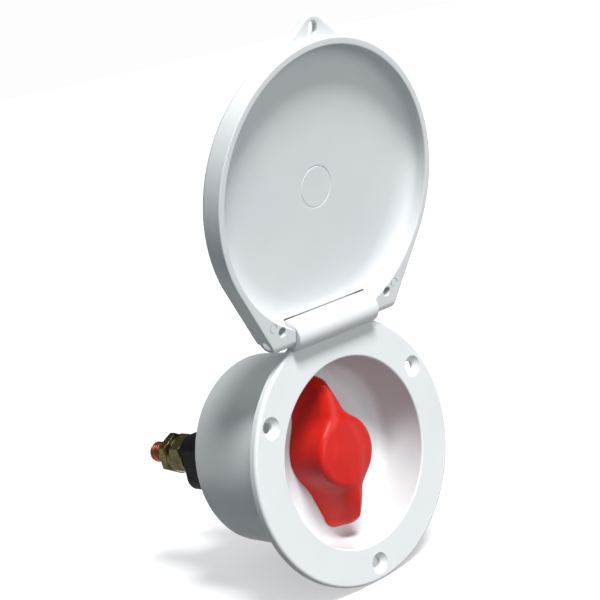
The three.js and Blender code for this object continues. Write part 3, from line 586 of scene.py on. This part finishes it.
# The lid's skin, one row at a time: the back face, its rounded edge, the outer
# wall, the mating face, then a circular pocket with a steep wall, an elliptical
# blend (a quarter ellipse from wall to floor) and a flat floor with a ring mark.
def lidGrid():
    points, normals = lidOutline()
    direction = points / np.linalg.norm(points, axis=1, keepdims=True)
    mating, back = lid["matingY"], lid["matingY"] - lid["thickness"]
    edge, rim, lip = lid["backEdge"], lid["rimEdge"], lid["pocketEdge"]
    rows = [((points - edge * normals) * share, back) for share in (0, 0.3, 0.6, 0.85)]
    for a in np.linspace(0, pi / 2, 9):
        rows.append((points - edge * (1 - sin(a)) * normals, back + edge * (1 - cos(a))))
    for a in np.linspace(0, pi / 2, 5):
        rows.append((points - rim * (1 - cos(a)) * normals, mating - rim * (1 - sin(a))))
    land = points - rim * normals
    mouth = direction * (lid["pocketRadius"] + lip)
    for share in (0.25, 0.5, 0.75):
        rows.append((land + (mouth - land) * share, mating))
    # From the pocket's mouth inwards every row is a circle.
    circles = []
    for a in np.linspace(0, pi / 2, 5):
        circles.append((lid["pocketRadius"] + lip * (1 - sin(a)), mating - lip * (1 - cos(a))))
    wallRadius, wallY = lid["pocketRadius"] - lid["wallDraft"], mating - lid["wallDepth"]
    blendHeight = lid["pocketDepth"] - lid["wallDepth"]
    for a in np.linspace(0, pi / 2, 19):
        circles.append((wallRadius - lid["blendWidth"] * (1 - cos(a)), wallY - blendHeight * sin(a)))
    floorY = mating - lid["pocketDepth"]
    grooveY = floorY - lid["markDepth"]
    mark, width = lid["centreMark"], lid["markWidth"]
    circles += [(radius, floorY) for radius in (40, 30, 20, 14, mark + 2 * width, mark + width)]
    circles += [(mark + 0.4 * width, grooveY), (mark - 0.4 * width, grooveY)]
    circles += [(radius, floorY) for radius in (mark - width, mark - 2 * width, 5, 2.5, 0)]
    rows += [(direction * radius, y) for radius, y in circles]
    return stackRows(rows)


# A curve of four handles: (1-k)^3 a + 3(1-k)^2 k b + 3(1-k) k^2 c + k^3 d.
def fourHandles(a, b, c, d, steps):
    k = np.linspace(0, 1, steps + 1)[:, None]
    a, b, c, d = (np.array(p, float) for p in (a, b, c, d))
    return (1 - k) ** 3 * a + 3 * (1 - k) ** 2 * k * b + 3 * (1 - k) * k ** 2 * c + k ** 3 * d


# The pull tab: a flat ring about its eyelet. Each column joins a point of the
# outer outline to the eyelet's edge in the same direction, and the rows go
# round the section: front, outer edge, back and the eyelet's wall.
def tabGrid():
    t = tab
    lean, shoulder = np.arcsin(t["flare"] / lid["radius"]), radians(t["shoulder"])
    centreZ = -(t["reach"] - t["radius"])
    start = (-t["flare"], -lid["radius"] * cos(lean))
    end = (-t["radius"] * cos(shoulder), centreZ - t["radius"] * sin(shoulder))
    left = fourHandles(start, (start[0] + t["lead"] * cos(lean), start[1] - t["lead"] * sin(lean)),
                       (end[0] - t["lead"] * sin(shoulder), end[1] + t["lead"] * cos(shoulder)), end, 26)
    around = np.linspace(pi + shoulder, 2 * pi - shoulder, 30)[1:-1]
    tip = np.stack([t["radius"] * np.cos(around), centreZ + t["radius"] * np.sin(around)], axis=-1)
    right = left[::-1] * [-1, 1]
    rootAngle = np.linspace(-pi / 2 + lean, -pi / 2 - lean, 30)[1:-1]
    root = t["root"] * np.stack([np.cos(rootAngle), np.sin(rootAngle)], axis=-1)
    outline = np.vstack([left, tip, right, root])
    tangent = np.roll(outline, -1, axis=0) - np.roll(outline, 1, axis=0)
    normal = np.stack([tangent[:, 1], -tangent[:, 0]], axis=-1)
    normal /= np.linalg.norm(normal, axis=1, keepdims=True)
    # The edge rounding dies away where the tab runs into the rim.
    normal *= smoothStep(lid["radius"] - 0.2, lid["radius"] + 1.2, np.linalg.norm(outline, axis=1))[:, None]
    eye = np.array([0, -t["holeZ"]])
    # The directions never turn back, so that no column crosses its neighbour.
    heading = np.unwrap(np.arctan2(outline[:, 1] - eye[1], outline[:, 0] - eye[0]))
    heading = np.maximum.accumulate(heading) + np.linspace(0, 0.01, len(heading))
    away = np.stack([np.cos(heading), np.sin(heading)], axis=-1)
    hole = eye + away * t["holeWidth"] / 2
    hole[:, 1] += np.tanh(away[:, 1] * 6) * (t["holeHeight"] - t["holeWidth"]) / 2
    front = lid["matingY"] - t["setback"]
    back = front - t["thickness"]
    edge, rim = t["edge"], t["holeEdge"]
    inner, outer = hole + away * rim, outline - normal * edge
    rows = []
    for a in np.linspace(0, pi / 2, 5):
        rows.append((hole + away * rim * (1 - cos(a)), front - rim * (1 - sin(a))))
    for share in (0.3, 0.6, 0.85):
        rows.append((inner + (outer - inner) * share, front))
    for a in np.linspace(0, pi / 2, 7):
        rows.append((outline - normal * edge * (1 - sin(a)), front - edge * (1 - cos(a))))
    for a in np.linspace(0, pi / 2, 7):
        rows.append((outline - normal * edge * (1 - cos(a)), back + edge * (1 - sin(a))))
    for share in (0.85, 0.6, 0.3):
        rows.append((inner + (outer - inner) * share, back))
    for a in np.linspace(0, pi / 2, 5):
        rows.append((hole + away * rim * (1 - sin(a)), back + rim * (1 - cos(a))))
    return stackRows(rows)


# The block that trims the ears' ends: everything above the hinge's axis that
# lies outside a half round of the ear's radius. It is one outline at each end
# and the sides between them.
def earTrimmer():
    y, z, r = hinge["y"], hinge["z"], lid["earRadius"]
    angle = np.linspace(0, pi, 33)
    arc = np.stack([y + r * np.cos(angle), z + r * np.sin(angle)], axis=-1)
    outline = np.vstack([[[y + 12, z]], arc, [[y - 16, z], [y - 16, z + 14], [y + 12, z + 14]]])
    count = len(outline)
    corners = np.vstack([np.insert(outline, 0, x, axis=1) for x in (-lid["radius"], lid["radius"])])
    sides = [(i, (i + 1) % count, count + (i + 1) % count, count + i) for i in range(count)]
    ends = [tuple(range(count)), tuple(range(2 * count - 1, count - 1, -1))]
    return corners, sides + ends


# A shallow round groove in the mating face: a thin tube section, turned.
def ringMark(x, z):
    bottom, top = lid["matingY"] - lid["earMarkDepth"], lid["matingY"] + overshoot
    inner, outer = lid["earMark"] - lid["earMarkWidth"] / 2, lid["earMark"] + lid["earMarkWidth"] / 2
    return lathe(np.array([[inner, bottom], [outer, bottom], [outer, top], [inner, top]]), 48, x, z)


# A blind hole in the mating face, a little wider at its mouth.
def earHole(x, z):
    radius, mating = lid["earHole"], lid["matingY"]
    bottom, top, mouth = mating - lid["earHoleDepth"], mating + overshoot, radius + 0.4
    profile = roundedProfile([
        (0, bottom, 0), (radius - 0.15, bottom, 0.3), (radius, mating - 0.3, 0.1),
        (mouth, mating + 0.1, 0.1), (mouth, top, 0), (0, top, 0)], closed=False)
    return lathe(profile, 48, x, z)


hingeCentre = Matrix.Translation((0, hinge["y"], hinge["z"]))
swing = hingeCentre @ Matrix.Rotation(-radians(hinge["openAngle"]), 4, "X") @ hingeCentre.inverted()


def makeLid():
    piece = makeObject("hingedLid", gridFaces(lidGrid()))
    carve(piece, makeObject("pullTab", gridFaces(tabGrid(), closeRows=True)), "UNION")
    carve(piece, makeObject("earTrimmer", earTrimmer()))
    half = lid["knuckleHalf"]
    gap = barAlongX(lid["knuckleGap"], -half, half, hinge["y"], hinge["z"], 160)
    carve(piece, makeObject("knuckleGap", gridFaces(gap)))
    cutters = []
    for side in (-1, 1):
        ends = sorted((side * (half - overshoot), side * lid["radius"]))
        cutters += [gridFaces(barAlongX(lid["pinHole"], *ends, hinge["y"], hinge["z"])),
                    gridFaces(earHole(side * lid["earHoleX"], lid["earHoleZ"])),
                    gridFaces(ringMark(side * lid["earMarkX"], lid["earMarkZ"]), closeRows=True)]
    carve(piece, makeObject("lidHoles", *cutters))
    finishPiece(piece, "lid", "white_abs", ["lid"], swing)


# A hinge pin, turning in the knuckle, pressed into the ear and trimmed flush
# with the ear's slanting end.
def makeHingePin(name, side):
    fromX = housing["knuckleHalf"] - housing["pinReach"] + pin["clear"]
    line = roundedProfile([(0, fromX, 0), (pin["radius"], fromX, pin["edge"]),
                           (pin["radius"], pin["toX"], 0), (0, pin["toX"], 0)], closed=False)
    bar = layAlongX(lathe(line, 48), hinge["y"], hinge["z"]) * [side, 1, 1]
    piece = makeObject(name, gridFaces(bar))
    points, normals = lidOutline()
    trim = prism((points - pin["below"] * normals, normals), pin["trimFrom"], pin["trimTo"])
    carve(piece, makeObject("trim", gridFaces(trim)), "INTERSECT")
    finishPiece(piece, "lid", "stainless", [name], swing)


makeLid()
makeHingePin("hinge_pin_left", -1)
makeHingePin("hinge_pin_right", 1)
print("lid made")


knob = {
    "baseY": 20.6, "height": 19.5, "tilt": 3.4, "blend": 3.7,
    "hubRadius": 17.7, "hubDraft": 3.3, "hubEdge": 3.0,
    "tipCentre": 30.6, "tipRadius": 7.2, "wingTaper": 0.29, "wingDraft": 15, "wingEdge": 5.6,
    "crestHeight": 19.5, "crestFrom": 18.2, "crestFall": 5.3, "crestPower": 1.79,
    "screwHole": 2.1, "screwY": 14, "screwFromX": 2, "screwToX": 30,
}
knobRays = {"planes": 121, "fan": 49, "lifts": 80, "farthest": 45, "halvings": 32}


# How far a point is outside a solid with a drafted side and a flat top: side
# and top are its distances from the two faces, and the edge between is round.
def roundedEdge(side, top, radius):
    a, b = side + radius, top + radius
    return np.hypot(np.maximum(a, 0), np.maximum(b, 0)) + np.minimum(np.maximum(a, b), 0) - radius


# The knob as a field, negative inside: a drafted round hub, and two wings that
# taper along Z, whose crests fall as a power of the distance from the hub.
# The two are joined by a smooth minimum, which fills the hollow between them.
def knobField(x, up, z):
    k = knob
    reach = np.abs(z)
    hubSide = np.hypot(x, z) - k["hubRadius"] + up * tan(radians(k["hubDraft"]))
    hub = roundedEdge(hubSide, up - k["height"], k["hubEdge"])
    beyond = np.maximum(reach - k["tipCentre"], 0)
    half = k["tipRadius"] + k["wingTaper"] * np.maximum(k["tipCentre"] - reach, 0)
    wingSide = np.hypot(x, beyond) - half + up * tan(radians(k["wingDraft"]))
    along = np.clip((reach - k["crestFrom"]) / (k["tipCentre"] + k["tipRadius"] - k["crestFrom"]), 0, 1)
    crest = k["crestHeight"] - k["crestFall"] * along ** k["crestPower"]
    wing = roundedEdge(wingSide, up - crest, k["wingEdge"])
    overlap = np.maximum(k["blend"] - np.abs(hub - wing), 0)
    return np.minimum(hub, wing) - overlap ** 2 / (4 * k["blend"])


# The knob's skin: fans of rays rise from a spine on its base, in planes that
# stand across the wings and turn round their ends, and each ray is halved
# again and again to the place where the field is nought.
def knobGrid():
    k, rays = knob, knobRays
    z = k["tipCentre"] * np.sin(np.linspace(-pi / 2, pi / 2, rays["planes"]))
    fan = np.linspace(0, pi, rays["fan"])[1:-1]
    tip = np.full(len(fan), k["tipCentre"])
    heading = np.concatenate([np.zeros(len(z)), fan, np.full(len(z), pi), pi + fan])
    spine = np.concatenate([z, tip, z[::-1], -tip])
    lift = np.linspace(0, pi / 2, rays["lifts"])[:, None]
    near = np.zeros((rays["lifts"], len(spine)))
    far = near + rays["farthest"]
    for _ in range(rays["halvings"]):
        middle = (near + far) / 2
        flat, up = middle * np.cos(lift), middle * np.sin(lift)
        inside = knobField(flat * np.cos(heading), up, spine + flat * np.sin(heading)) < 0
        near, far = np.where(inside, middle, near), np.where(inside, far, middle)
    flat, up = near * np.cos(lift), near * np.sin(lift)
    surface = np.stack([flat * np.cos(heading), k["baseY"] - up, spine + flat * np.sin(heading)], axis=-1)
    base = surface[:1]
    return np.concatenate([base * [0, 1, 0], base * [0.97, 1, 0.98], surface])


# The knob stands a little turned on its shaft, and its set screw's hole runs
# in from the side.
def makeKnob():
    piece = makeObject("handle", gridFaces(knobGrid()))
    piece.data.transform(Matrix.Rotation(-radians(knob["tilt"]), 4, "Y"))
    hole = barAlongX(knob["screwHole"], knob["screwFromX"], knob["screwToX"], knob["screwY"], 0, 40)
    carve(piece, makeObject("screwHole", gridFaces(hole)))
    finishPiece(piece, "knob", "red_plastic", ["knob"])


makeKnob()
print("knob made")


block = {
    "drop": 2.4, "plateHalf": 31, "plateCorner": 6, "plateEdge": 0.3, "fromY": 46.3, "plateY": 50.3,
    "backY": 87, "halfWidth": 27, "halfHeight": 13.5, "corner": 7, "edge": 1.1, "inset": 0.4,
    "recessWidth": 24.8, "recessHeight": 9.5, "recessCorner": 3, "recessY": 61.6,
    "springHole": 5.6, "springEnd": 76, "studHole": 5.2, "screwAt": 25.8, "screwHole": 2.3,
}
stud = {
    "x": 17, "radius": 5, "pitch": 1.5, "depth": 0.92, "headRadius": 7.2, "headY": 57.3, "headEnd": 61.3,
    "threadY": 84, "endY": 119, "chamfer": 1.3,
}
nut = {
    "flat": 9, "bore": 5.2, "boreEdge": 0.6, "faceRadius": 8.5, "faceInset": 0.6,
    "slope": 1.8, "chamferDepth": 1.15,
}
washer = {
    "bore": 5.2, "flatRadius": 10.2, "springRadius": 8.8, "springCorner": 0.25,
    "springFrom": -66, "springTo": 282, "rise": 0.18,
}
stack = {"flat": (87.3, 89.3), "nut": (89.6, 97.6), "spring": (97.9, 100.1), "jam": (100.4, 105.4)}


# The block is a square plate inside the drum and a boss that comes out at the
# back, hollowed from the front, with bores for the spring, studs and screws.
def makeBlock():
    b = block
    points, normals = roundedRectangle(b["halfWidth"], b["halfHeight"], b["corner"], 14)
    boss = prism((points - [0, b["drop"]], normals), b["fromY"] + b["inset"], b["backY"], b["edge"], 6)
    piece = makeObject("terminalBlock", gridFaces(boss))
    square = roundedRectangle(b["plateHalf"], b["plateHalf"], b["plateCorner"])
    plate = prism(square, b["fromY"], b["plateY"], b["plateEdge"])
    carve(piece, makeObject("blockPlate", gridFaces(plate)), "UNION")
    hollow = roundedRectangle(b["recessWidth"], b["recessHeight"], b["recessCorner"], 6)
    carve(piece, makeObject("recess", gridFaces(prism(hollow, b["fromY"] - overshoot, b["recessY"]))))
    start, at = b["recessY"] - overshoot, b["screwAt"]
    holes = [gridFaces(barAlongY(b["springHole"], start, b["springEnd"]))]
    for x in (-stud["x"], stud["x"]):
        holes.append(gridFaces(barAlongY(b["studHole"], start, b["backY"] + overshoot, x)))
    for x, z in ((at, at), (-at, at), (-at, -at), (at, -at)):
        screw = barAlongY(b["screwHole"], b["fromY"] - overshoot, b["plateY"] + overshoot, x, z, 24)
        holes.append(gridFaces(screw))
    carve(piece, makeObject("studHoles", *holes))
    finishPiece(piece, "enclosure", "black_phenolic", ["terminal_block"])


# The stud: a head, a plain shank and a rolled thread. On the thread the radius
# is the outside less a rounded saw wave of (y / pitch + angle / turn), and a
# chamfer takes the end down.
def studGrid(x):
    s = stud
    segments = 60
    angle = np.arange(segments) * 2 * pi / segments
    y = np.arange(s["threadY"], s["endY"], s["pitch"] / 12)[:, None]
    wave = np.abs(2 * ((y / s["pitch"] + angle / (2 * pi)) % 1) - 1)
    ramp = smoothStep(0.1, 0.9, wave) * smoothStep(s["threadY"], s["threadY"] + 1.5, y)
    radius = s["radius"] - s["depth"] * ramp
    radius = np.minimum(radius, s["radius"] - s["chamfer"] + (s["endY"] - y) * 1.1)
    head = roundedProfile([
        (0, s["headY"], 0), (s["headRadius"], s["headY"], 0.8), (s["headRadius"], s["headEnd"], 0.3),
        (s["radius"], s["headEnd"], 0.2), (s["radius"], s["threadY"] - 0.2, 0)], closed=False)
    endRadius = s["radius"] - s["chamfer"]
    rows = np.vstack([np.repeat(head[:, :1], segments, axis=1), radius,
                      np.repeat([[endRadius - 0.05], [endRadius * 0.5], [0]], segments, axis=1)])
    heights = np.concatenate([head[:, 1], y[:, 0], [s["endY"], s["endY"], s["endY"]]])[:, None]
    return np.stack([x + rows * np.cos(angle), heights + 0 * angle, rows * np.sin(angle)], axis=-1)


# A hexagon nut, its section followed round from bore to bore. The outside
# radius is the smaller of the hexagon's, flat / cos(angle from the flat's
# middle), and the chamfer's cone.
def nutGrid(x, fromY, toY):
    n = nut
    segments = 96
    angle = np.arange(segments) * 2 * pi / segments
    hexagon = n["flat"] / np.cos((angle - pi / 6) % (pi / 3) - pi / 6)
    depth = np.linspace(0, n["chamferDepth"], 12)
    cone = n["faceRadius"] + n["slope"] * depth
    lower = np.minimum(hexagon[None], cone[:, None])
    face = np.full((1, segments), n["faceRadius"] - n["faceInset"])
    mouth = np.full((1, segments), n["bore"] + n["boreEdge"])
    bore = np.full((1, segments), n["bore"])
    rows = np.vstack([bore, mouth, face, lower, lower[::-1], face, mouth, bore])
    y = np.concatenate([[fromY + n["boreEdge"], fromY, fromY], fromY + depth, toY - depth[::-1],
                        [toY, toY, toY - n["boreEdge"]]])[:, None]
    return np.stack([x + rows * np.cos(angle), y + 0 * angle, rows * np.sin(angle)], axis=-1)


def flatWasherGrid(x, fromY, toY):
    section = roundedProfile([(washer["bore"], fromY, 0.15), (washer["flatRadius"], fromY, 0.5),
                              (washer["flatRadius"], toY, 0.35), (washer["bore"], toY, 0.15)])
    return lathe(section, 96, x)


# A split spring washer: a rounded square section carried round a turn less the
# slit, rising a little from one end to the other; the ends close on a point.
def springWasherGrid(x, fromY, toY):
    w = washer
    middle, corner = (w["bore"] + w["springRadius"]) / 2, w["springCorner"]
    wide, high = (w["springRadius"] - w["bore"]) / 2, (toY - fromY) / 2
    section = roundedProfile([(-wide, -high, corner), (wide, -high, corner), (wide, high, corner),
                              (-wide, high, corner)])
    angle = np.radians(np.linspace(w["springFrom"], w["springTo"], 90))
    angle = np.concatenate([angle[:1], angle, angle[-1:]])[:, None]
    size = np.ones_like(angle)
    size[[0, -1]] = 0
    radius = middle + size * section[:, 0]
    rise = np.linspace(-w["rise"], w["rise"], len(angle))[:, None]
    y = (fromY + toY) / 2 + rise + size * section[:, 1]
    return np.stack([x + radius * np.cos(angle), y, radius * np.sin(angle)], axis=-1)


# One terminal: a stud, and on it a flat washer, a nut, a spring washer and a
# jam nut.
def makeTerminal(side, x):
    finishPiece(makeObject("stud_" + side, gridFaces(studGrid(x))), "enclosure", "copper", ["stud_" + side])
    pieces = (("flat_washer_", flatWasherGrid, "flat", True), ("nut_", nutGrid, "nut", True),
              ("spring_washer_", springWasherGrid, "spring", False), ("jam_nut_", nutGrid, "jam", True))
    for name, shape, place, closed in pieces:
        piece = makeObject(name + side, gridFaces(shape(x, *stack[place]), closeRows=closed))
        finishPiece(piece, "enclosure", "yellow_zinc", [name + side])


makeBlock()
makeTerminal("left", -stud["x"])
makeTerminal("right", stud["x"])
print("terminals made")


# The CAD nodes that stay are the parts inside, each with its own finish.
innerFinish = {
    "knob_set_screw": "stainless", "shaft": "stainless", "shaft_seal": "black_rubber",
    "retaining_clip": "stainless", "cam_rotor": "grey_nylon", "switch_body": "black_phenolic",
    "contact_carrier": "grey_nylon", "contact_bridge": "copper", "contact_spring": "stainless",
    "return_spring": "stainless", "body_screw_1": "stainless", "body_screw_2": "stainless",
    "body_screw_3": "stainless", "body_screw_4": "stainless",
}
for node, slot in innerFinish.items():
    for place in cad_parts[node].material_slots:
        place.material = finishes[slot]
print("inner parts finished:", len(innerFinish))


studio = {
    "floorSize": 30, "floorGap": 0.0002, "floorColour": "#C4C6C8", "floorGlow": 0.5,
    "backdrop": "#FDFDFD", "ambient": 0.115, "ambientColour": "#C8DFEC", "lampColour": (1.0, 0.99, 0.975),
}
softboxes = {
    "key": {"strength": 4.25, "comesFrom": (-0.12, -0.53, 0.84), "angle": 18},
    "front": {"strength": 1.55, "comesFrom": (-0.02, -0.99, 0.1), "angle": 46},
    "back": {"strength": 0.85, "comesFrom": (-0.15, 0.35, 0.92), "angle": 50},
}
view = {
    "place": (-0.4825, -0.5215, 0.1931), "forward": (0.6615, 0.7309, -0.168), "up": (0.2653, -0.0186, 0.964),
    "lens": 98.52, "sensor": 36,
}


# A plain painted floor just below the object, in metres.
def makeFloor():
    half = studio["floorSize"] / 2
    low = cadBounds[0].z - studio["floorGap"]
    corners = [(-half, -half, low), (half, -half, low), (half, half, low), (-half, half, low)]
    mesh = bpy.data.meshes.new("floor")
    mesh.from_pydata(corners, [], [(0, 1, 2, 3)])
    floor = bpy.data.objects.new("floor", mesh)
    bpy.context.scene.collection.objects.link(floor)
    material, place = newMaterial("paintedFloor")
    setShader(material,
              Base_Color=colour(studio["floorColour"]), Roughness=spreadNoise(material, place, 30, 0.7, 0.8),
              Specular_IOR_Level=0.1,
              Emission_Color=(1.0, 1.0, 1.0, 1.0), Emission_Strength=studio["floorGlow"])
    mesh.materials.append(material)
    floor.visible_diffuse = False


# Three soft lights: the key high in front and a little to the left, a weak
# one level with the object, and one behind. What the camera sees past the
# floor is plain and pale.
def makeSoftbox(name, strength, comesFrom, angle):
    lamp = bpy.data.lights.new(name, "SUN")
    lamp.energy = strength
    lamp.angle = radians(angle)
    lamp.color = studio["lampColour"]
    light = bpy.data.objects.new(name, lamp)
    bpy.context.scene.collection.objects.link(light)
    light.rotation_euler = Vector(comesFrom).to_track_quat("Z", "Y").to_euler()


def makeLight():
    for name, softbox in softboxes.items():
        makeSoftbox(name, **softbox)
    world = bpy.data.worlds.new("studio")
    bpy.context.scene.world = world
    world.use_nodes = True
    nodes, links = world.node_tree.nodes, world.node_tree.links
    ambient = nodes["Background"]
    ambient.inputs["Color"].default_value = colour(studio["ambientColour"])
    ambient.inputs["Strength"].default_value = studio["ambient"]
    backdrop = nodes.new("ShaderNodeBackground")
    backdrop.inputs["Color"].default_value = colour(studio["backdrop"])
    rays, chosen = nodes.new("ShaderNodeLightPath"), nodes.new("ShaderNodeMixShader")
    links.new(rays.outputs["Is Camera Ray"], chosen.inputs["Fac"])
    links.new(ambient.outputs["Background"], chosen.inputs[1])
    links.new(backdrop.outputs["Background"], chosen.inputs[2])
    links.new(chosen.outputs["Shader"], nodes["World Output"].inputs["Surface"])
    bpy.context.scene.view_settings.view_transform = "Standard"


def makeCamera():
    forward, up = Vector(view["forward"]).normalized(), Vector(view["up"])
    right = forward.cross(up).normalized()
    up = right.cross(forward)
    data = bpy.data.cameras.new("camera")
    data.sensor_width = view["sensor"]
    data.lens = view["lens"]
    data.clip_start, data.clip_end = 0.01, 100
    camera = bpy.data.objects.new("camera", data)
    bpy.context.scene.collection.objects.link(camera)
    turn = Matrix((right, up, -forward)).transposed().to_4x4()
    camera.matrix_world = Matrix.Translation(view["place"]) @ turn
    bpy.context.scene.camera = camera


makeFloor()
makeLight()
makeCamera()
print("studio made")
